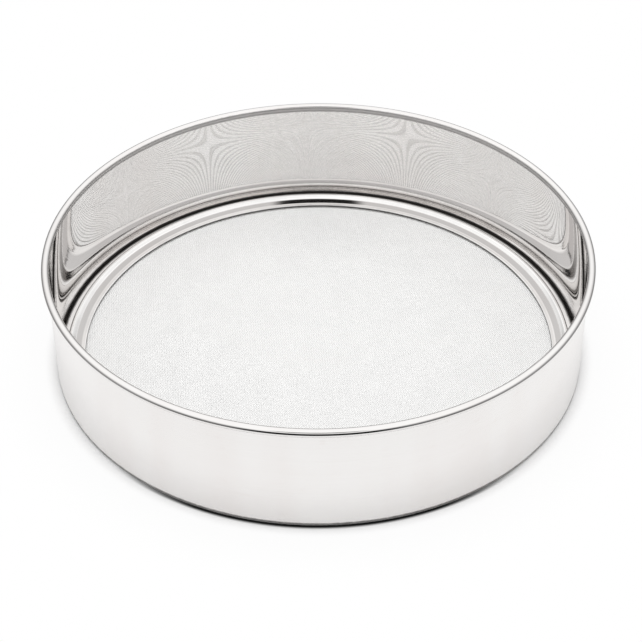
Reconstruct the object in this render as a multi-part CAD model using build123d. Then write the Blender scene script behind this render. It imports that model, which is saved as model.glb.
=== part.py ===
from build123d import *
from math import asin, atan2, cos, degrees, hypot, radians, sin, sqrt, tan
import os

# Tamis drum sieve: a rolled-rim steel hoop, a disc of wire cloth lying on the hoop's
# inward flange, and a formed clamp ring pressed in over the cloth.
# Units are millimetres, +Z is up, and the origin is the centre of the footprint.

# Drum wall
rim_diameter = 200.0  # across the rolled bead
drum_height = 44.0  # table to the top of the bead
wall_sheet = 0.5
bead_diameter = 3.0  # across the rolled tube
bead_inset = 0.5  # how far the bead comes in past the wall's inner face
bead_tail_gap = 0.15  # between the curl's free edge and the wall
neck_bend = 0.5  # centreline radius where the wall leans in to start the curl
neck_steps = 1
bead_rise_steps = 4  # straight stretches of the curl up to its top
bead_side_steps = 3  # from its top to its outermost point
bead_tail_steps = 2  # and round below to its free edge
base_bend = 0.55  # centreline radius where the wall turns into the flange
base_steps = 2
flange_width = 9.6  # flat ledge under the cloth, from the wall's inner face

# Wire cloth
wire_diameter = 0.22
cloth_margin = 9.9  # closed border, measured inward from the wall; its edge hides under the lip
cloth_clearance = 0.3  # from the flange's bend to the cut edge of the cloth
grid_pitch = 13.4  # a square grid of larger openings stands for the fine mesh
grid_bar = 1.0  # metal left between two openings
least_opening_share = 0.12  # an edge opening smaller than this part of a full one stays closed

# Clamp ring
ring_sheet = 0.4
ring_clearance = 0.3  # from the ring's foot to the wall
groove_width = 3.0  # from the wall to the ring's upright leg
foot_bend = 0.5  # centreline radius between foot and leg
foot_steps = 1
crest_bend = 0.9  # centreline radius of the rounded top
crest_steps = 4
ring_height = 2.3  # cloth to the top of the crest
shoulder_slope = 35.0  # degrees, from the crest down to the flat band
valley_bend = 0.7  # centreline radius where the shoulder runs out into the band
valley_steps = 1
lip_bend = 0.3  # centreline radius of the hemmed inner lip
lip_steps = 3
lip_inset = 10.1  # from the wall's inner face to the lip's inner edge
hem_tail = 0.8  # sheet folded back under the lip

# Sizes that follow from the ones above
bead_bend = (bead_diameter - wall_sheet) / 2
bead_center_r = (rim_diameter - bead_diameter) / 2
bead_center_z = drum_height - bead_diameter / 2
wall_inner_r = rim_diameter / 2 - bead_diameter + bead_inset
wall_center_r = wall_inner_r + wall_sheet / 2
wall_outer_r = wall_inner_r + wall_sheet
cloth_thickness = 2 * wire_diameter
cloth_bottom = wall_sheet
cloth_top = cloth_bottom + cloth_thickness
cloth_r = wall_center_r - base_bend - cloth_clearance


def straight_end(r, z, heading):
    """Station at an end of a sheet's centreline that runs along heading, in degrees."""
    normal = radians(heading + 90)
    return [(r, z, cos(normal), sin(normal))]


def turn(center_r, center_z, bend, start, sweep, steps):
    """Stations round a bend: points on the centreline, each with the normal on its left."""
    side = 1 if sweep < 0 else -1
    stations = []
    for step in range(steps + 1):
        angle = radians(start + sweep * step / steps)
        r = center_r + bend * cos(angle)
        z = center_z + bend * sin(angle)
        stations.append((r, z, side * cos(angle), side * sin(angle)))
    return stations


def sheet_ring(stations, thickness):
    """Thicken a sheet's centreline to both sides and turn the section round the Z axis."""
    half = thickness / 2
    left = [(r + half * nr, z + half * nz) for r, z, nr, nz in stations]
    right = [(r - half * nr, z - half * nz) for r, z, nr, nz in stations]
    section = make_face(Polyline(*left, *reversed(right), close=True))
    return revolve(Plane.XZ * section, Axis.Z)


def make_drum_wall():
    """Hoop: flange, bend, upright wall and the hollow bead rolled outward at the top."""
    flange_z = wall_sheet / 2
    flange_end = straight_end(wall_inner_r - flange_width, flange_z, 0)
    base = turn(wall_center_r - base_bend, flange_z + base_bend, base_bend, -90, 90, base_steps)
    # The neck bends the wall inward until it runs along the bead's circle.
    neck_run = bead_center_r - wall_center_r + neck_bend
    neck_drop = sqrt((neck_bend + bead_bend) ** 2 - neck_run**2)
    lean = degrees(atan2(neck_drop, neck_run))
    neck_z = bead_center_z - neck_drop
    neck = turn(wall_center_r - neck_bend, neck_z, neck_bend, 0, lean, neck_steps)
    # The curl stops where its outer side would come within the tail gap of the wall.
    tail_reach = bead_center_r - wall_outer_r - bead_tail_gap
    tail = degrees(asin(tail_reach / (bead_diameter / 2)))
    rise = turn(bead_center_r, bead_center_z, bead_bend, 180 + lean, -90 - lean, bead_rise_steps)
    side = turn(bead_center_r, bead_center_z, bead_bend, 90, -90, bead_side_steps)
    end = turn(bead_center_r, bead_center_z, bead_bend, 0, -90 - tail, bead_tail_steps)
    return sheet_ring(flange_end + base + neck + rise[1:] + side[1:] + end[1:], wall_sheet)


def make_wire_cloth():
    """Disc of cloth: a closed clamped border round one gridded field of openings."""
    field_r = wall_inner_r - cloth_margin
    field = Circle(field_r)
    opening = grid_pitch - grid_bar
    steps = int(field_r / grid_pitch) + 1
    cells = []
    for column in range(-steps, steps + 1):
        for row in range(-steps, steps + 1):
            x = column * grid_pitch
            y = row * grid_pitch
            near = hypot(max(abs(x) - opening / 2, 0), max(abs(y) - opening / 2, 0))
            far = hypot(abs(x) + opening / 2, abs(y) + opening / 2)
            if near >= field_r:
                continue
            cell = Pos(x, y) * Rectangle(opening, opening)
            if far > field_r:
                cell = cell & field
            if cell.area > least_opening_share * opening**2:
                cells.append(cell)
    print("openings in the cloth:", len(cells))
    disc = Circle(cloth_r) - cells
    return Pos(0, 0, cloth_bottom) * extrude(disc, cloth_thickness)


def make_clamp_ring():
    """Formed ring: foot, leg, rounded crest, shoulder, flat band and hemmed inner lip."""
    foot_z = cloth_top + ring_sheet / 2
    leg_r = wall_inner_r - groove_width - ring_sheet / 2
    crest_r = leg_r - crest_bend
    crest_z = cloth_top + ring_height - ring_sheet / 2 - crest_bend
    lip_r = wall_inner_r - lip_inset + ring_sheet / 2 + lip_bend
    lip_z = foot_z + lip_bend
    # The shoulder is the straight line between the crest's bend and the valley's.
    slope = radians(shoulder_slope)
    valley_z = lip_z + lip_bend + valley_bend
    drop = crest_z - valley_z + (crest_bend + valley_bend) * cos(slope)
    valley_r = crest_r - (crest_bend + valley_bend) * sin(slope) - drop / tan(slope)
    foot_end = straight_end(wall_inner_r - ring_clearance, foot_z, 180)
    foot = turn(leg_r + foot_bend, foot_z + foot_bend, foot_bend, 270, -90, foot_steps)
    crest = turn(crest_r, crest_z, crest_bend, 0, 90 + shoulder_slope, crest_steps)
    valley_start = shoulder_slope - 90
    valley = turn(valley_r, valley_z, valley_bend, valley_start, -shoulder_slope, valley_steps)
    lip = turn(lip_r, lip_z, lip_bend, 90, 180, lip_steps)
    tail_end = straight_end(lip_r + hem_tail, foot_z, 0)
    return sheet_ring(foot_end + foot + crest + valley + lip + tail_end, ring_sheet)


os.makedirs("parts", exist_ok=True)
export_step(make_drum_wall(), "parts/drum_wall.step")
export_step(make_wire_cloth(), "parts/wire_cloth.step")
export_step(make_clamp_ring(), "parts/clamp_ring.step")
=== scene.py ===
import math
import bpy
import numpy as np
from mathutils import Matrix, Vector


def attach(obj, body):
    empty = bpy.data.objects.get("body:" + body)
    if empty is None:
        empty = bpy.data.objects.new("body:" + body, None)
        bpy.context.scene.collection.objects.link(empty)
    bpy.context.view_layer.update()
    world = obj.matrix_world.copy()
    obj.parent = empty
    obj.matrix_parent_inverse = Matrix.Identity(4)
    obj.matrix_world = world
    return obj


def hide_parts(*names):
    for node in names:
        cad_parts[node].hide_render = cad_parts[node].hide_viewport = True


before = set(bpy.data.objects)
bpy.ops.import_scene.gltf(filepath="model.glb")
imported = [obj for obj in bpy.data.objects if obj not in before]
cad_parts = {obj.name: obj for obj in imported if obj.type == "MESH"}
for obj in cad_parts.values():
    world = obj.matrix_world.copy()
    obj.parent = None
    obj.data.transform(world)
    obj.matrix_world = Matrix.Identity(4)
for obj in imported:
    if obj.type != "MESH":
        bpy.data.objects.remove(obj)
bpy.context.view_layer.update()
mm = 0.001  # sizes below are millimetres unless a note says otherwise

# How finely the formed sheets are divided
division = {
    "segments": 384,  # round the axis
    "degreesPerStep": 9.0,  # round a bend
    "guard": 0.12,  # from a bend to the first row on the straight beside it
    "longRun": 10.0,  # a longer straight has as many rows as its piece says
    "shortRows": 2,
    "sharpAngle": 40.0,  # degrees
}


def turn(centerR, centerZ, bend, start, sweep):
    # stations round a bend, each a point and the normal on its left
    steps = max(1, math.ceil(abs(sweep) / division["degreesPerStep"]))
    side = 1 if sweep < 0 else -1
    stations = []
    for step in range(steps + 1):
        angle = math.radians(start + sweep * step / steps)
        stations.append((centerR + bend * math.cos(angle), centerZ + bend * math.sin(angle),
                         side * math.cos(angle), side * math.sin(angle)))
    return stations


def straightEnd(r, z, heading):
    # station where a straight run begins or ends
    normal = math.radians(heading + 90)
    return [(r, z, math.cos(normal), math.sin(normal))]


def joined(runs, longRows=division["shortRows"]):
    # every run in turn, with stations between them that keep the shading of the straights even
    guard = division["guard"]
    stations = list(runs[0])
    for run in runs[1:]:
        (r0, z0, nr, nz), (r1, z1) = stations[-1], run[0][:2]
        span = math.hypot(r1 - r0, z1 - z0)
        if span > 3 * guard:
            count = longRows if span > division["longRun"] else division["shortRows"]
            shares = [guard / span] + [k / count for k in range(1, count)] + [1 - guard / span]
            stations += [(r0 + (r1 - r0) * s, z0 + (z1 - z0) * s, nr, nz) for s in shares]
        stations += run
    return stations


def placed(name, data):
    made = bpy.data.objects.new(name, data)
    bpy.context.scene.collection.objects.link(made)
    return made


def sheetObject(name, stations, thickness):
    # thicken the centreline to both sides and turn the closed section round the Z axis
    half = thickness / 2
    left = [(r + half * nr, z + half * nz) for r, z, nr, nz in stations]
    right = [(r - half * nr, z - half * nz) for r, z, nr, nz in stations]
    section = left + right[::-1]
    count = len(section)
    segments = division["segments"]
    angles = np.arange(segments) * (2 * math.pi / segments)
    profile = np.array(section) * mm
    points = np.empty((segments, count, 3))
    points[:, :, 0] = np.outer(np.cos(angles), profile[:, 0])
    points[:, :, 1] = np.outer(np.sin(angles), profile[:, 0])
    points[:, :, 2] = profile[:, 1]
    faces = []
    for s in range(segments):
        t = (s + 1) % segments
        for p in range(count):
            q = (p + 1) % count
            faces.append((s * count + p, t * count + p, t * count + q, s * count + q))
    mesh = bpy.data.meshes.new(name)
    mesh.from_pydata(points.reshape(-1, 3).tolist(), [], faces)
    # a section that runs clockwise would turn the faces inside out
    nextPoints = section[1:] + section[:1]
    signed = sum(a[0] * b[1] - b[0] * a[1] for a, b in zip(section, nextPoints))
    if signed < 0:
        mesh.flip_normals()
    mesh.update()
    mesh.shade_smooth()
    mesh.set_sharp_from_angle(angle=math.radians(division["sharpAngle"]))
    print(name, "triangles", 2 * len(faces))
    return placed(name, mesh)


def addNode(tree, kind, **values):
    made = tree.nodes.new(kind)
    for key, value in values.items():
        setattr(made, key, value)
    return made


def feed(tree, socket, value):
    # a socket takes a link or a plain value
    if isinstance(value, bpy.types.NodeSocket):
        tree.links.new(value, socket)
    else:
        socket.default_value = value


def feedAll(tree, sockets, values):
    for socket, value in zip(sockets, values):
        feed(tree, socket, value)


def calc(tree, operation, *values):
    # more than two values are taken in turn
    made = addNode(tree, "ShaderNodeMath", operation=operation)
    feedAll(tree, made.inputs, values[:2])
    if len(values) > 2:
        return calc(tree, operation, made.outputs[0], *values[2:])
    return made.outputs[0]


def vectorCalc(tree, operation, *values):
    made = addNode(tree, "ShaderNodeVectorMath", operation=operation)
    feedAll(tree, made.inputs, values)
    return made.outputs["Value" if operation == "LENGTH" else "Vector"]


def ranged(tree, value, low, high, first=0.0, last=1.0):
    # smooth step from first at low to last at high
    made = addNode(tree, "ShaderNodeMapRange", interpolation_type="SMOOTHSTEP")
    names = ("Value", "From Min", "From Max", "To Min", "To Max")
    feedAll(tree, [made.inputs[name] for name in names], (value, low, high, first, last))
    return made.outputs[0]


def fades(tree, value, low, high):
    # smooth step down from 1 at low to 0 at high
    return ranged(tree, value, low, high, 1.0, 0.0)


def inMetres(sizes):
    return [size * mm for size in sizes]


def split(tree, vector):
    made = addNode(tree, "ShaderNodeSeparateXYZ")
    feed(tree, made.inputs[0], vector)
    return made.outputs


def combine(tree, x, y, z):
    made = addNode(tree, "ShaderNodeCombineXYZ")
    feedAll(tree, made.inputs, (x, y, z))
    return made.outputs[0]


def noise(tree, vector, detail):
    made = addNode(tree, "ShaderNodeTexNoise")
    feed(tree, made.inputs["Vector"], vector)
    feed(tree, made.inputs["Scale"], 1.0)
    feed(tree, made.inputs["Detail"], detail)
    return made.outputs[0]


def opaque(tone):
    return (*tone, 1)


def mixColor(tree, factor, first, second):
    # a Mix node's sockets for colours come after those for numbers and vectors
    made = addNode(tree, "ShaderNodeMix", data_type="RGBA")
    feedAll(tree, (made.inputs[0], made.inputs[6], made.inputs[7]), (factor, first, second))
    return made.outputs[2]


def shaded(tree, color, shade):
    # the same share of all three channels
    return vectorCalc(tree, "MULTIPLY", color, (shade,) * 3)


def mixShader(tree, factor, first, second):
    made = addNode(tree, "ShaderNodeMixShader")
    feedAll(tree, made.inputs, (factor, first, second))
    return made.outputs[0]


def whiteLight(tree, kind, strength):
    # an emission or a background
    made = addNode(tree, kind)
    feed(tree, made.inputs["Color"], (1, 1, 1, 1))
    feed(tree, made.inputs["Strength"], strength)
    return made.outputs[0]


def bumped(tree, height, depth, normal=None):
    made = addNode(tree, "ShaderNodeBump")
    feed(tree, made.inputs["Distance"], depth)
    feed(tree, made.inputs["Height"], height)
    if normal is not None:
        feed(tree, made.inputs["Normal"], normal)
    return made.outputs[0]


def arrange(tree):
    # columns leftward from the outputs, by the longest way to them
    columnWidth, rowHeight = 220, 190
    columns = {node.name: 0 for node in tree.nodes}
    changed = True
    while changed:
        changed = False
        for link in tree.links:
            need = columns[link.to_node.name] + 1
            if columns[link.from_node.name] < need:
                columns[link.from_node.name] = need
                changed = True
    rows = {}
    for node in tree.nodes:
        column = columns[node.name]
        rows[column] = rows.get(column, 0) + 1
        node.location = (-columnWidth * column, -rowHeight * rows[column])


def floats(*labels):
    return [(label, "NodeSocketFloat") for label in labels]


def newGroup(name, kind, inputs, outputs):
    tree = bpy.data.node_groups.new(name, kind)
    for label, socketKind in inputs:
        tree.interface.new_socket(label, in_out="INPUT", socket_type=socketKind)
    for label, socketKind in outputs:
        tree.interface.new_socket(label, in_out="OUTPUT", socket_type=socketKind)
    return tree, addNode(tree, "NodeGroupInput").outputs, addNode(tree, "NodeGroupOutput").inputs


def useGroup(tree, group, **values):
    made = addNode(tree, "ShaderNodeGroup", node_tree=group)
    for key, value in values.items():
        feed(tree, made.inputs[key], value)
    return made.outputs


def newMaterial(name):
    material = bpy.data.materials.new(name)
    material.use_nodes = True
    tree = material.node_tree
    return material, tree, tree.nodes["Principled BSDF"].inputs


def roundPlace(tree, output="Object"):
    # a place, its three parts, and its distance from the Z axis
    place = addNode(tree, "ShaderNodeTexCoord").outputs[output]
    parts = split(tree, place)
    return place, parts, vectorCalc(tree, "LENGTH", combine(tree, parts["X"], parts["Y"], 0.0))


# The finish that both formed sheets share; scales are per metre
sheetFinish = {
    "lineLength": 0.11,  # metres along the sheet
    "bandScale": (62.0, 62.0, 4.0),  # upright and as wide as a finger
    "markScale": (210.0, 210.0, 320.0),  # small dried spots
    "layers": {  # the noise's detail, and the two values between which it rises from nothing to full
        "lines": (3.0, 0.3, 0.7),
        "smudges": (4.0, 0.42, 0.68),
        "bands": (2.0, 0.35, 0.65),
        "marks": (3.0, 0.6, 0.85),
    },
    "waveDetail": 0.0,
    # painted shade laid into creases and along edges: the grain of its ragged edge, its fully dark core,
    # its tone and its shine
    "shadeGrainScale": (400.0, 400.0, 400.0),
    "shadeGrainDetail": 3.0,
    "shadeCore": 0.35,  # share of its reach that is fully dark
    "paintedShadeTone": (0.03, 0.027, 0.024),
    "paintedShadeShine": 0.1,
}


def rolledFinish():
    # rolling lines that run round the hoop, smudges, bands, marks and the slow waves of thin sheet
    tree, given, made = newGroup(
        "rolledFinish", "ShaderNodeTree",
        floats("lineSpacing", "smudgeSize", "waveSize"),
        floats("lines", "smudges", "waves", "bands", "marks"))
    place, parts, r = roundPlace(tree)
    along = [calc(tree, "DIVIDE", parts[axis], sheetFinish["lineLength"]) for axis in "XY"]
    across = calc(tree, "DIVIDE", calc(tree, "ADD", parts["Z"], r), given["lineSpacing"])
    places = {
        "lines": combine(tree, *along, across),
        "smudges": vectorCalc(tree, "DIVIDE", place, combine(tree, *[given["smudgeSize"]] * 3)),
        "bands": vectorCalc(tree, "MULTIPLY", place, sheetFinish["bandScale"]),
        "marks": vectorCalc(tree, "MULTIPLY", place, sheetFinish["markScale"]),
    }
    for key, (detail, low, high) in sheetFinish["layers"].items():
        feed(tree, made[key], ranged(tree, noise(tree, places[key], detail), low, high))
    wavePlace = vectorCalc(tree, "DIVIDE", place, combine(tree, *[given["waveSize"]] * 3))
    feed(tree, made["waves"], noise(tree, wavePlace, sheetFinish["waveDetail"]))
    arrange(tree)
    return tree


def paintedCreaseShade():
    # painted shade: a dark ring round the axis that fades away from its circle with a ragged edge, laid
    # where creases and edges fall into shade
    tree, given, made = newGroup(
        "paintedCreaseShade", "ShaderNodeTree",
        floats("radius", "height", "reach", "raggedness"), floats("mask"))
    place, parts, r = roundPlace(tree)
    grainPlace = vectorCalc(tree, "MULTIPLY", place, sheetFinish["shadeGrainScale"])
    grain = noise(tree, grainPlace, sheetFinish["shadeGrainDetail"])
    uneven = calc(tree, "MULTIPLY", calc(tree, "SUBTRACT", grain, 0.5), given["raggedness"])
    ragged = calc(tree, "MULTIPLY", given["reach"], calc(tree, "ADD", uneven, 1.0))
    outward = calc(tree, "SUBTRACT", r, given["radius"])
    upward = calc(tree, "SUBTRACT", parts["Z"], given["height"])
    distance = vectorCalc(tree, "LENGTH", combine(tree, outward, upward, 0.0))
    core = calc(tree, "MULTIPLY", ragged, sheetFinish["shadeCore"])
    feed(tree, made["mask"], fades(tree, distance, core, ragged))
    arrange(tree)
    return tree


finishGroup = rolledFinish()
paintedShadeGroup = paintedCreaseShade()


def rolledSteel(name, look, paintedShades, addZones):
    # polished sheet: two close tones, rolling lines, smudges, slow waves, and painted shade in its creases
    # and along its edges
    material, tree, shader = newMaterial(name)
    finish = useGroup(tree, finishGroup, lineSpacing=look["lineSpacing"] * mm,
                      smudgeSize=look["smudgeSize"] * mm, waveSize=look["waveSize"] * mm)
    # painted shade: dark where the sheet's creases and edges fall into shade
    paintedShade = 0.0
    for radius, height, (reach, raggedness, strength) in paintedShades:
        mask = useGroup(tree, paintedShadeGroup, radius=radius * mm, height=height * mm, reach=reach * mm,
                        raggedness=raggedness)[0]
        paintedShade = calc(tree, "MAXIMUM", paintedShade, calc(tree, "MULTIPLY", mask, strength))
    shares = [calc(tree, "MULTIPLY", finish[key], share) for key, share in look["toneShares"].items()]
    tone = calc(tree, "ADD", *shares)
    clean = mixColor(tree, tone, opaque(look["brightTone"]), opaque(look["dullTone"]))
    clean, rough = addZones(tree, look, clean, look["roughness"])
    # where the painted shade lies, the sheet turns dark and loses its metal shine
    feed(tree, shader["Base Color"], mixColor(tree, paintedShade, clean, opaque(sheetFinish["paintedShadeTone"])))
    feed(tree, shader["Metallic"], calc(tree, "SUBTRACT", 1.0, paintedShade))
    feed(tree, shader["Specular IOR Level"], sheetFinish["paintedShadeShine"])
    rough = calc(tree, "ADD", rough,
                 calc(tree, "MULTIPLY", finish["lines"], look["lineRoughness"]),
                 calc(tree, "MULTIPLY", finish["smudges"], look["smudgeRoughness"]),
                 calc(tree, "MULTIPLY", paintedShade, look["paintedShadeRoughness"]))
    feed(tree, shader["Roughness"], rough)
    waves = bumped(tree, finish["waves"], look["waveDepth"] * mm)
    feed(tree, shader["Normal"], bumped(tree, finish["lines"], look["lineDepth"] * mm, waves))
    arrange(tree)
    return material


# The hoop: one rolled steel sheet with a hollow bead at the top and a flange under the cloth
hoop = {
    "rimDiameter": 200.0,
    "height": 44.0,
    "sheet": 0.5,
    "beadDiameter": 3.0,
    "beadInset": 0.5,
    "neckBend": 0.5,
    "beadTailGap": 0.15,
    "baseBend": 0.55,
    "flangeWidth": 9.6,
    "wallRows": 10,
    "creaseRise": 0.35,  # from the neck's lower end to the painted shade beside it
    "footInset": 0.3,  # from the wall's outer face to the painted shade under the base
    "grooveHeight": 1.1,  # of the painted shade at the foot of the wall's inside
    "paintedShades": {  # painted shade: reach, raggedness and strength
        "neckInside": (0.9, 0.5, 0.5),
        "beadSide": (1.2, 0.4, 0.4),
        "neckOutside": (0.9, 0.3, 0.7),
        "foot": (0.9, 0.3, 1.0),
        "groove": (0.9, 0.4, 1.0),
    },
    "look": {
        "brightTone": (0.885, 0.872, 0.862),
        "dullTone": (0.845, 0.815, 0.8),
        # painted shade: the inside and the bead darker than the outside
        "paintedInsideShade": 0.94,
        # painted shade at the foot of the inside
        "footShadeTo": (1.9, 2.8),  # heights between which it fades out
        "footShadeShare": 0.3,
        "toneShares": {"lines": 0.2, "smudges": 0.25, "bands": 0.35, "marks": 0.5},
        "roughness": 0.012,
        "outerRoughness": 0.16,
        "hazeFrom": (2.6, 4.2),  # heights, as above
        "hazeTo": (7.0, 10.0),
        "hazeRoughness": 0.1,
        "lineSpacing": 0.5,
        "lineRoughness": 0.006,
        "lineDepth": 0.00012,
        "smudgeSize": 38.0,
        "smudgeRoughness": 0.008,
        "paintedShadeRoughness": 0.3,
        "waveSize": 55.0,
        "waveDepth": 0.03,
    },
}

beadBend = (hoop["beadDiameter"] - hoop["sheet"]) / 2
beadCenterR = (hoop["rimDiameter"] - hoop["beadDiameter"]) / 2
beadCenterZ = hoop["height"] - hoop["beadDiameter"] / 2
wallInnerR = hoop["rimDiameter"] / 2 - hoop["beadDiameter"] + hoop["beadInset"]
wallCenterR = wallInnerR + hoop["sheet"] / 2
wallOuterR = wallInnerR + hoop["sheet"]


def wallZones(tree, look, clean, rough):
    # the outside of the wall below the bead is more satin than its mirror-like inside; the rest of the
    # sheet is darkened by a painted shade
    parts, r = roundPlace(tree)[1:]
    z = parts["Z"]
    outside = calc(tree, "GREATER_THAN", r, wallCenterR * mm)
    inside = calc(tree, "LESS_THAN", r, wallCenterR * mm)
    underBead = calc(tree, "LESS_THAN", z, (beadCenterZ - hoop["beadDiameter"] / 2) * mm)
    satin = calc(tree, "MULTIPLY", outside, underBead)
    clean = mixColor(tree, satin, shaded(tree, clean, look["paintedInsideShade"]), clean)
    # painted shade at the foot of the inside, beside the groove
    foot = calc(tree, "MULTIPLY", fades(tree, z, *inMetres(look["footShadeTo"])), inside)
    clean = mixColor(tree, foot, clean, shaded(tree, clean, look["footShadeShare"]))
    # a hazy belt above it
    risen = ranged(tree, z, *inMetres(look["hazeFrom"]))
    faded = fades(tree, z, *inMetres(look["hazeTo"]))
    haze = calc(tree, "MULTIPLY", risen, faded, inside, look["hazeRoughness"])
    outer = calc(tree, "MULTIPLY", satin, look["outerRoughness"] - rough)
    return clean, calc(tree, "ADD", rough, outer, haze)


def makeHoop():
    flangeZ = hoop["sheet"] / 2
    baseBend = hoop["baseBend"]
    flangeEnd = straightEnd(wallInnerR - hoop["flangeWidth"], flangeZ, 0)
    base = turn(wallCenterR - baseBend, flangeZ + baseBend, baseBend, -90, 90)
    # the neck leans the wall inward until it runs along the bead's circle
    neckBend = hoop["neckBend"]
    neckRun = beadCenterR - wallCenterR + neckBend
    neckDrop = math.sqrt((neckBend + beadBend) ** 2 - neckRun ** 2)
    lean = math.degrees(math.atan2(neckDrop, neckRun))
    neckZ = beadCenterZ - neckDrop
    neck = turn(wallCenterR - neckBend, neckZ, neckBend, 0, lean)
    tailReach = beadCenterR - wallOuterR - hoop["beadTailGap"]
    tail = math.degrees(math.asin(tailReach / (hoop["beadDiameter"] / 2)))
    bead = turn(beadCenterR, beadCenterZ, beadBend, 180 + lean, -270 - lean - tail)
    stations = joined((flangeEnd, base, neck, bead[1:]), hoop["wallRows"])
    made = sheetObject("drumHoop", stations, hoop["sheet"])
    creaseZ = neckZ + hoop["creaseRise"]
    # painted shade in the neck's creases inside and out, beside the bead, under the base and in the groove
    paintedShadeSizes = hoop["paintedShades"]
    paintedShades = (
        (wallInnerR, creaseZ, paintedShadeSizes["neckInside"]),
        (beadCenterR - hoop["beadDiameter"] / 2, beadCenterZ, paintedShadeSizes["beadSide"]),
        (wallOuterR, creaseZ, paintedShadeSizes["neckOutside"]),
        (wallOuterR - hoop["footInset"], 0.0, paintedShadeSizes["foot"]),
        (wallInnerR, hoop["grooveHeight"], paintedShadeSizes["groove"]),
    )
    made.data.materials.append(rolledSteel("hoopSteel", hoop["look"], paintedShades, wallZones))
    return made


drumHoop = makeHoop()
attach(drumHoop, "root")
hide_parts("drum_wall")
print("hoop made")

# Plain-woven wire cloth, forty wires to the inch
cloth = {
    "wireDiameter": 0.22,
    "pitch": 0.635,
    "edgeClearance": 0.3,
    "wireSides": 4,
    "spacingJitter": 0.002,
    "seed": 7,
    "middleStripShare": 0.53,
    "stripOverhang": 1.0,  # how far the outer strips' limits lie past the cloth's edge
    "look": {
        "brightTone": (0.99, 0.985, 0.975),
        "dullTone": (0.955, 0.95, 0.94),
        "wireToneShare": 0.25,
        "film": 0.45,  # share of a pale dry film in the wires' finish
        "filmSpread": 0.1,
        "roughness": 0.2,
        "roughnessSpread": 0.1,
        "patchSize": 9.0,
        "patchDetail": 3.0,
        "patchRange": (0.35, 0.7),
        "drawSpacing": 0.05,
        "drawDetail": 2.0,
        "drawDepth": 0.0008,
    },
}

clothBottom = hoop["sheet"]
clothTop = clothBottom + 2 * cloth["wireDiameter"]
clothR = wallCenterR - hoop["baseBend"] - cloth["edgeClearance"]


def drawnWire():
    # every wire has its own tone, with duller patches over the cloth and fine drawing marks
    look = cloth["look"]
    material, tree, shader = newMaterial("clothSteel")
    own = addNode(tree, "ShaderNodeAttribute", attribute_name="wireTone").outputs["Fac"]
    place = addNode(tree, "ShaderNodeTexCoord").outputs["Object"]
    patchPlace = vectorCalc(tree, "DIVIDE", place, (look["patchSize"] * mm,) * 3)
    patches = ranged(tree, noise(tree, patchPlace, look["patchDetail"]), *look["patchRange"])
    finePlace = vectorCalc(tree, "DIVIDE", place, (look["drawSpacing"] * mm,) * 3)
    fine = noise(tree, finePlace, look["drawDetail"])
    clamp = addNode(tree, "ShaderNodeClamp")
    wireTone = calc(tree, "MULTIPLY", own, look["wireToneShare"])
    feed(tree, clamp.inputs[0], calc(tree, "ADD", wireTone, patches))
    dull = clamp.outputs[0]
    clean = mixColor(tree, dull, opaque(look["brightTone"]), opaque(look["dullTone"]))
    feed(tree, shader["Base Color"], clean)
    # a pale dry film takes some of the wires' shine, most of all on the duller patches
    film = calc(tree, "ADD", look["film"], calc(tree, "MULTIPLY", dull, look["filmSpread"]))
    feed(tree, shader["Metallic"], calc(tree, "SUBTRACT", 1.0, film))
    spread = calc(tree, "MULTIPLY", fine, look["roughnessSpread"])
    feed(tree, shader["Roughness"], calc(tree, "ADD", look["roughness"], spread))
    feed(tree, shader["Normal"], bumped(tree, fine, look["drawDepth"] * mm))
    arrange(tree)
    return material


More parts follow.
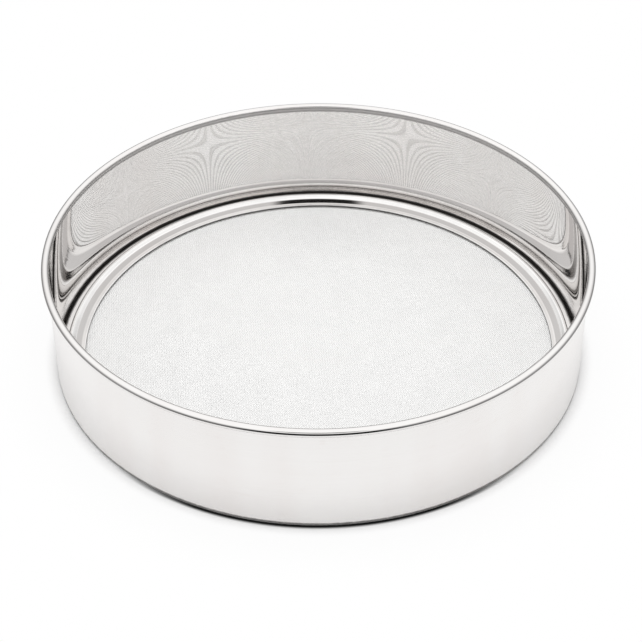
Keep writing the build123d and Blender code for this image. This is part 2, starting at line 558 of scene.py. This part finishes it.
def wovenWires(material):
    # one strip of the cloth's wires in one direction, from a grid of the wire crossings
    geometry = [("Geometry", "NodeSocketGeometry")]
    whole = [(label, "NodeSocketInt") for label in ("Turned", "Wire Sides", "Seed")]
    sizes = floats("Pitch", "Wire Diameter", "Cloth Radius", "Middle Height",
                   "Strip From", "Strip To", "Jitter")
    tree, given, made = newGroup("wovenWires", "GeometryNodeTree", geometry + sizes + whole, geometry)

    def step(kind, source, values, **settings):
        # one node, whose first socket takes what the step before it made
        node = addNode(tree, kind, **settings)
        feed(tree, node.inputs[0], source)
        for key, value in values.items():
            feed(tree, node.inputs[key], value)
        return node.outputs[0]

    # whole number of crossings from the middle to the edge, the same both ways
    reach = calc(tree, "FLOOR", calc(tree, "DIVIDE", given["Cloth Radius"], given["Pitch"]))
    across = calc(tree, "MULTIPLY", reach, 2.0)
    count = calc(tree, "ADD", across, 1.0)
    width = calc(tree, "MULTIPLY", across, given["Pitch"])
    grid = step("GeometryNodeMeshGrid", width, {"Size Y": width, "Vertices X": count, "Vertices Y": count})
    place = addNode(tree, "GeometryNodeInputPosition").outputs[0]
    x, y = split(tree, place)[:2]
    outside = calc(tree, "GREATER_THAN", vectorCalc(tree, "LENGTH", place), given["Cloth Radius"])
    below = calc(tree, "LESS_THAN", x, given["Strip From"])
    above = calc(tree, "GREATER_THAN", x, given["Strip To"])
    dropped = calc(tree, "MAXIMUM", outside, below, above)
    crossings = step("GeometryNodeDeleteGeometry", grid, {"Selection": dropped}, domain="POINT")

    # only the edges along the wires stay
    ends = addNode(tree, "GeometryNodeInputMeshEdgeVertices").outputs
    apart = vectorCalc(tree, "SUBTRACT", ends["Position 1"], ends["Position 2"])
    sideways = calc(tree, "ABSOLUTE", split(tree, apart)["X"])
    crosswise = calc(tree, "GREATER_THAN", sideways, calc(tree, "MULTIPLY", given["Pitch"], 0.5))
    runs = step("GeometryNodeDeleteGeometry", crossings, {"Selection": crosswise},
                domain="EDGE", mode="EDGE_FACE")

    # over and under at every other crossing, and each wire a little off its place
    column = calc(tree, "ROUND", calc(tree, "DIVIDE", x, given["Pitch"]))
    row = calc(tree, "ROUND", calc(tree, "DIVIDE", y, given["Pitch"]))
    both = calc(tree, "ADD", column, row, given["Turned"])
    wave = calc(tree, "SUBTRACT", calc(tree, "FLOORED_MODULO", both, 2.0), 0.5)
    lift = calc(tree, "ADD", calc(tree, "MULTIPLY", wave, given["Wire Diameter"]), given["Middle Height"])
    firstId = 1000.0  # keeps every column's number above zero
    # sockets 2 and 3 are the limits of a plain number, and output 1 is that number
    random = addNode(tree, "FunctionNodeRandomValue", data_type="FLOAT")
    feed(tree, random.inputs[2], -1.0)
    feed(tree, random.inputs[3], 1.0)
    feed(tree, random.inputs["ID"], calc(tree, "ADD", column, firstId))
    feed(tree, random.inputs["Seed"], calc(tree, "ADD", given["Seed"], given["Turned"]))
    shift = calc(tree, "MULTIPLY", random.outputs[1], given["Jitter"])
    toned = step("GeometryNodeStoreNamedAttribute", runs, {"Name": "wireTone", "Value": random.outputs[1]},
                 data_type="FLOAT", domain="POINT")
    moved = combine(tree, calc(tree, "ADD", x, shift), y, lift)
    lifted = step("GeometryNodeSetPosition", toned, {"Position": moved})

    curves = step("GeometryNodeMeshToCurve", lifted, {})
    section = addNode(tree, "GeometryNodeCurvePrimitiveCircle", mode="RADIUS")
    feed(tree, section.inputs["Resolution"], given["Wire Sides"])
    feed(tree, section.inputs["Radius"], calc(tree, "MULTIPLY", given["Wire Diameter"], 0.5))
    tube = {"Profile Curve": section.outputs[0], "Fill Caps": True}
    wires = step("GeometryNodeCurveToMesh", curves, tube)
    # the weft is the warp turned a quarter round
    quarter = combine(tree, 0.0, 0.0, calc(tree, "MULTIPLY", given["Turned"], math.pi / 2))
    turned = step("GeometryNodeTransform", wires, {"Rotation": quarter})
    smooth = step("GeometryNodeSetShadeSmooth", turned, {})
    real = step("GeometryNodeRealizeInstances", smooth, {})
    feed(tree, made[0], step("GeometryNodeSetMaterial", real, {"Material": material}))
    arrange(tree)
    return tree


def wovenStrip(name, tree, values):
    # what the node tree makes of these values, kept as a plain mesh
    holder = placed(name + "Tree", bpy.data.meshes.new(name + "Tree"))
    modifier = holder.modifiers.new("weave", "NODES")
    modifier.node_group = tree
    sockets = {item.name: item.identifier for item in tree.interface.items_tree if item.in_out == "INPUT"}
    for key, value in values.items():
        modifier[sockets[key]] = value
    evaluated = holder.evaluated_get(bpy.context.evaluated_depsgraph_get())
    mesh = bpy.data.meshes.new_from_object(evaluated)
    mesh.name = name
    holder.modifiers.clear()
    bpy.data.objects.remove(holder)
    print(name, "triangles", sum(len(face.vertices) - 2 for face in mesh.polygons))
    return placed(name, mesh)


def makeCloth():
    tree = wovenWires(drawnWire())
    # three strips of about the same area each way
    edge = cloth["middleStripShare"] * clothR / 2
    end = clothR + cloth["stripOverhang"]
    spans = ((-end, -edge), (-edge, edge), (edge, end))
    names = (("warpLeft", "warpMiddle", "warpRight"), ("weftFront", "weftMiddle", "weftBack"))
    values = {
        "Pitch": cloth["pitch"] * mm,
        "Wire Diameter": cloth["wireDiameter"] * mm,
        "Cloth Radius": clothR * mm,
        "Middle Height": (clothBottom + cloth["wireDiameter"]) * mm,
        "Wire Sides": cloth["wireSides"],
        "Jitter": cloth["spacingJitter"] * mm,
        "Seed": cloth["seed"],
    }
    made = []
    for turned in (0, 1):
        for name, (low, high) in zip(names[turned], spans):
            limits = {"Strip From": low * mm, "Strip To": high * mm, "Turned": turned}
            made.append(wovenStrip(name, tree, {**values, **limits}))
    return made


for strip in makeCloth():
    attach(strip, "root")
    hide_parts("wire_cloth")
print("cloth made")

# The formed ring that holds the cloth down
ring = {
    "sheet": 0.4,
    "clearance": 0.3,
    "grooveWidth": 3.0,
    "footBend": 0.5,
    "crestBend": 0.9,
    "height": 2.3,
    "shoulderSlope": 35.0,  # degrees, like the band's fall
    "valleyBend": 0.7,
    "bandFall": 5.0,
    "levelEdge": 1.1,
    "edgeBend": 2.0,
    "lipBend": 0.3,
    "lipInset": 10.1,
    "hemTail": 0.8,
    "paintedShades": {  # painted shade: reach, raggedness and strength
        "groove": (1.7, 0.3, 1.0),
        "lip": (1.05, 0.2, 1.0),
    },
    "look": {
        "brightTone": (0.9, 0.888, 0.878),
        "dullTone": (0.7, 0.69, 0.68),
        "toneShares": {"lines": 0.5, "smudges": 0.3, "bands": 0.1, "marks": 0.2},
        # painted shade that greys the middle of the band
        "bandShadeTone": (0.6, 0.59, 0.585),
        "bandShadeFrom": (1.5, 2.0),  # outward from the lip's edge
        "bandShadeTo": (3.6, 4.4),
        "roughness": 0.05,
        "lineSpacing": 0.8,
        "lineRoughness": 0.04,
        "lineDepth": 0.006,
        "smudgeSize": 14.0,
        "smudgeRoughness": 0.03,
        "paintedShadeRoughness": 0.4,
        "waveSize": 40.0,
        "waveDepth": 0.02,
    },
}

lipEdgeR = wallInnerR - ring["lipInset"]


def bandZones(tree, look, clean, rough):
    # painted shade: the middle of the band is greyer
    fromLip = calc(tree, "SUBTRACT", roundPlace(tree)[2], lipEdgeR * mm)
    risen = ranged(tree, fromLip, *inMetres(look["bandShadeFrom"]))
    paintedBandShade = calc(tree, "MULTIPLY", risen, fades(tree, fromLip, *inMetres(look["bandShadeTo"])))
    return mixColor(tree, paintedBandShade, clean, opaque(look["bandShadeTone"])), rough


def makeRing():
    sheet = ring["sheet"]
    footZ = clothTop + sheet / 2
    legR = wallInnerR - ring["grooveWidth"] - sheet / 2
    crestR = legR - ring["crestBend"]
    crestZ = clothTop + ring["height"] - sheet / 2 - ring["crestBend"]
    lipR = lipEdgeR + sheet / 2 + ring["lipBend"]
    lipZ = footZ + ring["lipBend"]
    # the shoulder is straight between the crest's bend and the valley's
    slope = math.radians(ring["shoulderSlope"])
    bothBends = ring["crestBend"] + ring["valleyBend"]
    # the band falls a little towards the lip, then runs level for its last stretch
    fall = math.radians(ring["bandFall"])
    steep, gentle = math.tan(slope), math.tan(fall)
    levelR = lipR + ring["levelEdge"]
    levelZ = lipZ + ring["lipBend"]
    lineZ = levelZ + ring["valleyBend"] / math.cos(fall) - levelR * gentle
    shoulderZ = crestZ + bothBends * math.cos(slope)
    valleyR = (crestR - bothBends * math.sin(slope) + (lineZ - shoulderZ) / steep) / (1 - gentle / steep)
    valleyZ = lineZ + valleyR * gentle
    footBend, edgeBend = ring["footBend"], ring["edgeBend"]
    footEnd = straightEnd(wallInnerR - ring["clearance"], footZ, 180)
    foot = turn(legR + footBend, footZ + footBend, footBend, 270, -90)
    crest = turn(crestR, crestZ, ring["crestBend"], 0, 90 + ring["shoulderSlope"])
    valley = turn(valleyR, valleyZ, ring["valleyBend"], ring["shoulderSlope"] - 90,
                  ring["bandFall"] - ring["shoulderSlope"])
    edge = turn(levelR - edgeBend * math.tan(fall / 2), levelZ + edgeBend, edgeBend,
                ring["bandFall"] - 90, -ring["bandFall"])
    lip = turn(lipR, lipZ, ring["lipBend"], 90, 180)
    tail = straightEnd(lipR + ring["hemTail"], footZ, 0)
    stations = joined((footEnd, foot, crest, valley, edge, lip, tail))
    made = sheetObject("holdingRing", stations, sheet)
    # painted shade in the groove beside the wall and under the lip's edge
    paintedShades = (
        (wallInnerR, clothTop + sheet, ring["paintedShades"]["groove"]),
        (lipEdgeR, clothTop, ring["paintedShades"]["lip"]),
    )
    made.data.materials.append(rolledSteel("ringSteel", ring["look"], paintedShades, bandZones))
    return made


holdingRing = makeRing()
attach(holdingRing, "root")
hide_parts("clamp_ring")
print("ring made")

# The camera, fitted to the rim, base and ring outlines, then turned round the axis; metres and degrees
view = {
    "lens": 99.10,  # millimetres, like the sensor
    "sensor": 36.0,
    "place": (0.0, -0.51741, 0.42223),
    "pitch": 38.557,
    "yaw": 0.097,
    "around": -40.0,
    "roll": -0.213,
    "clipStart": 0.01,
    "clipEnd": 10.0,
}

# Plain pale floor with a painted shadow in the narrow gap under the front of the hoop; each reach is
# outward from the wall's outer face
ground = {
    "radius": 170.0,
    "rimSteps": 96,
    "tone": 0.97,
    "roughness": 0.9,
    "shine": 0.2,
    "glow": 0.05,
    "insideReach": -1.2,
    "contactReach": (0.2, 5.2),
    "shadowReach": (2.0, 32.0),
    "shadowShare": 0.12,
    "mirroredReach": 18.0,  # how much wider the wall mirrors the shadow than the camera sees it
    # painted shadow in the gap under the front of the hoop
    "paintedGapShadowReach": (0.2, 1.6),
    "paintedGapShadowSide": (0.66, 0.92),  # cosines of the bearing from the camera
    "paintedGapShadowTone": 0.01,
}


def towardCamera(tree, parts, r):
    # cosine of the bearing from the camera's side of the axis
    around = math.radians(view["around"])
    nearAxis = 0.001  # the least distance, so that nothing is divided by zero
    leftward = calc(tree, "MULTIPLY", parts["X"], -math.sin(around))
    frontward = calc(tree, "MULTIPLY", parts["Y"], -math.cos(around))
    return calc(tree, "DIVIDE", calc(tree, "ADD", leftward, frontward), calc(tree, "MAXIMUM", r, nearAxis))


def makeFloor():
    steps = ground["rimSteps"]
    radius = ground["radius"] * mm
    angles = [2 * math.pi * k / steps for k in range(steps)]
    rim = [(radius * math.cos(angle), radius * math.sin(angle), 0) for angle in angles]
    mesh = bpy.data.meshes.new("studioFloor")
    mesh.from_pydata(rim, [], [tuple(range(steps))])
    floor = placed("studioFloor", mesh)
    material, tree, shader = newMaterial("studioWhite")
    parts, r = roundPlace(tree)[1:]
    outward = calc(tree, "SUBTRACT", r, wallOuterR * mm)
    inside = calc(tree, "LESS_THAN", outward, ground["insideReach"] * mm)
    # painted shadow: the floor is dark in the narrow gap under the front of the hoop, and gives no glow
    # there
    front = ranged(tree, towardCamera(tree, parts, r), *ground["paintedGapShadowSide"])
    narrow = fades(tree, outward, *inMetres(ground["paintedGapShadowReach"]))
    paintedGapShadow = calc(tree, "MULTIPLY", narrow, front, calc(tree, "SUBTRACT", 1.0, inside))
    floorTone, paintedGapShadowTone = opaque((ground["tone"],) * 3), opaque((ground["paintedGapShadowTone"],) * 3)
    feed(tree, shader["Base Color"], mixColor(tree, paintedGapShadow, floorTone, paintedGapShadowTone))
    feed(tree, shader["Roughness"], ground["roughness"])
    feed(tree, shader["Specular IOR Level"], ground["shine"])
    glow = calc(tree, "MULTIPLY", calc(tree, "SUBTRACT", 1.0, paintedGapShadow), ground["glow"])
    lit = addNode(tree, "ShaderNodeAddShader")
    feed(tree, lit.inputs[0], tree.nodes["Principled BSDF"].outputs[0])
    feed(tree, lit.inputs[1], whiteLight(tree, "ShaderNodeEmission", glow))
    # seen by the camera and in the steel, the floor is plain white under the cloth and beyond the shadow
    path = addNode(tree, "ShaderNodeLightPath").outputs
    seen = calc(tree, "MAXIMUM", path["Is Camera Ray"], path["Is Glossy Ray"])
    contactStart, contactEnd = inMetres(ground["contactReach"])
    mirrored = calc(tree, "MULTIPLY", path["Is Glossy Ray"], ground["mirroredReach"] * mm)
    reach = calc(tree, "ADD", mirrored, contactEnd)
    near = ranged(tree, outward, contactStart, reach, 0.0, 1 - ground["shadowShare"])
    far = ranged(tree, outward, *inMetres(ground["shadowReach"]), 0.0, ground["shadowShare"])
    bright = calc(tree, "MAXIMUM", inside, calc(tree, "ADD", near, far))
    white = whiteLight(tree, "ShaderNodeEmission", 1.0)
    surface = mixShader(tree, calc(tree, "MULTIPLY", bright, seen), lit.outputs[0], white)
    feed(tree, tree.nodes["Material Output"].inputs["Surface"], surface)
    arrange(tree)
    floor.data.materials.append(material)


# The room round the object: white overhead, greyer at the horizon, dark behind the camera;
# heights are sines of the elevation, and sides are cosines of the bearing from the camera
room = {
    "horizonTone": 0.3,
    "frontHorizonTone": 0.17,
    "horizonSide": (0.2, 0.8),
    "horizonHeight": (-0.05, 0.6),
    "sideTone": 1.07,
    "overheadTone": 1.17,
    "overheadHeight": (0.4, 0.8),
    "darkTone": 0.02,
    "darkSide": (0.82, 0.96),
    "darkBelow": (0.24, 0.32),
    "darkHeight": 0.7,
    "darkHalfHeight": 0.1,
    "darkHalfWidth": 0.08,
    "darkEdge": (0.5, 1.1),
}


def makeRoom():
    world = bpy.data.worlds.new("studioRoom")
    bpy.context.scene.world = world
    world.use_nodes = True
    tree = world.node_tree
    tree.nodes.clear()
    parts, flat = roundPlace(tree, "Generated")[1:]
    z = parts["Z"]
    toward = towardCamera(tree, parts, flat)
    # one oval dark patch behind the camera, and a dark strip low behind it
    up = calc(tree, "DIVIDE", calc(tree, "SUBTRACT", z, room["darkHeight"]), room["darkHalfHeight"])
    aside = calc(tree, "DIVIDE", calc(tree, "SUBTRACT", 1.0, toward), room["darkHalfWidth"])
    patch = fades(tree, calc(tree, "ADD", calc(tree, "MULTIPLY", up, up), aside), *room["darkEdge"])
    behind = ranged(tree, toward, *room["darkSide"])
    strip = calc(tree, "MULTIPLY", behind, fades(tree, z, *room["darkBelow"]))
    dark = calc(tree, "MAXIMUM", patch, strip)
    # the horizon is greyest behind the camera
    horizon = ranged(tree, toward, *room["horizonSide"], room["horizonTone"], room["frontHorizonTone"])
    low = ranged(tree, z, *room["horizonHeight"], horizon, room["sideTone"])
    high = ranged(tree, z, *room["overheadHeight"], 0.0, room["overheadTone"] - room["sideTone"])
    tone = calc(tree, "ADD", low, high)
    depth = calc(tree, "SUBTRACT", tone, room["darkTone"])
    tone = calc(tree, "SUBTRACT", tone, calc(tree, "MULTIPLY", dark, depth))
    surround = whiteLight(tree, "ShaderNodeBackground", tone)
    backdrop = whiteLight(tree, "ShaderNodeBackground", 1.0)
    seen = addNode(tree, "ShaderNodeLightPath").outputs["Is Camera Ray"]
    out = addNode(tree, "ShaderNodeOutputWorld")
    feed(tree, out.inputs["Surface"], mixShader(tree, seen, surround, backdrop))
    arrange(tree)


def makeCamera():
    lens = bpy.data.cameras.new("studioCamera")
    lens.lens = view["lens"]
    lens.sensor_width = view["sensor"]
    lens.sensor_fit = "HORIZONTAL"
    lens.clip_start = view["clipStart"]
    lens.clip_end = view["clipEnd"]
    camera = placed("studioCamera", lens)
    pitch, yaw, roll, around = (math.radians(view[key]) for key in ("pitch", "yaw", "roll", "around"))
    forward = Vector((math.sin(yaw) * math.cos(pitch), math.cos(yaw) * math.cos(pitch), -math.sin(pitch)))
    right = forward.cross(Vector((0, 0, 1))).normalized()
    side = right * math.cos(roll) + right.cross(forward) * math.sin(roll)
    top = side.cross(forward)
    fitted = Matrix((
        (side.x, top.x, -forward.x, view["place"][0]),
        (side.y, top.y, -forward.y, view["place"][1]),
        (side.z, top.z, -forward.z, view["place"][2]),
        (0, 0, 0, 1),
    ))
    camera.matrix_world = Matrix.Rotation(-around, 4, "Z") @ fitted
    bpy.context.scene.camera = camera


makeFloor()
makeRoom()
makeCamera()
bpy.context.scene.view_settings.view_transform = "Standard"
print("studio made")
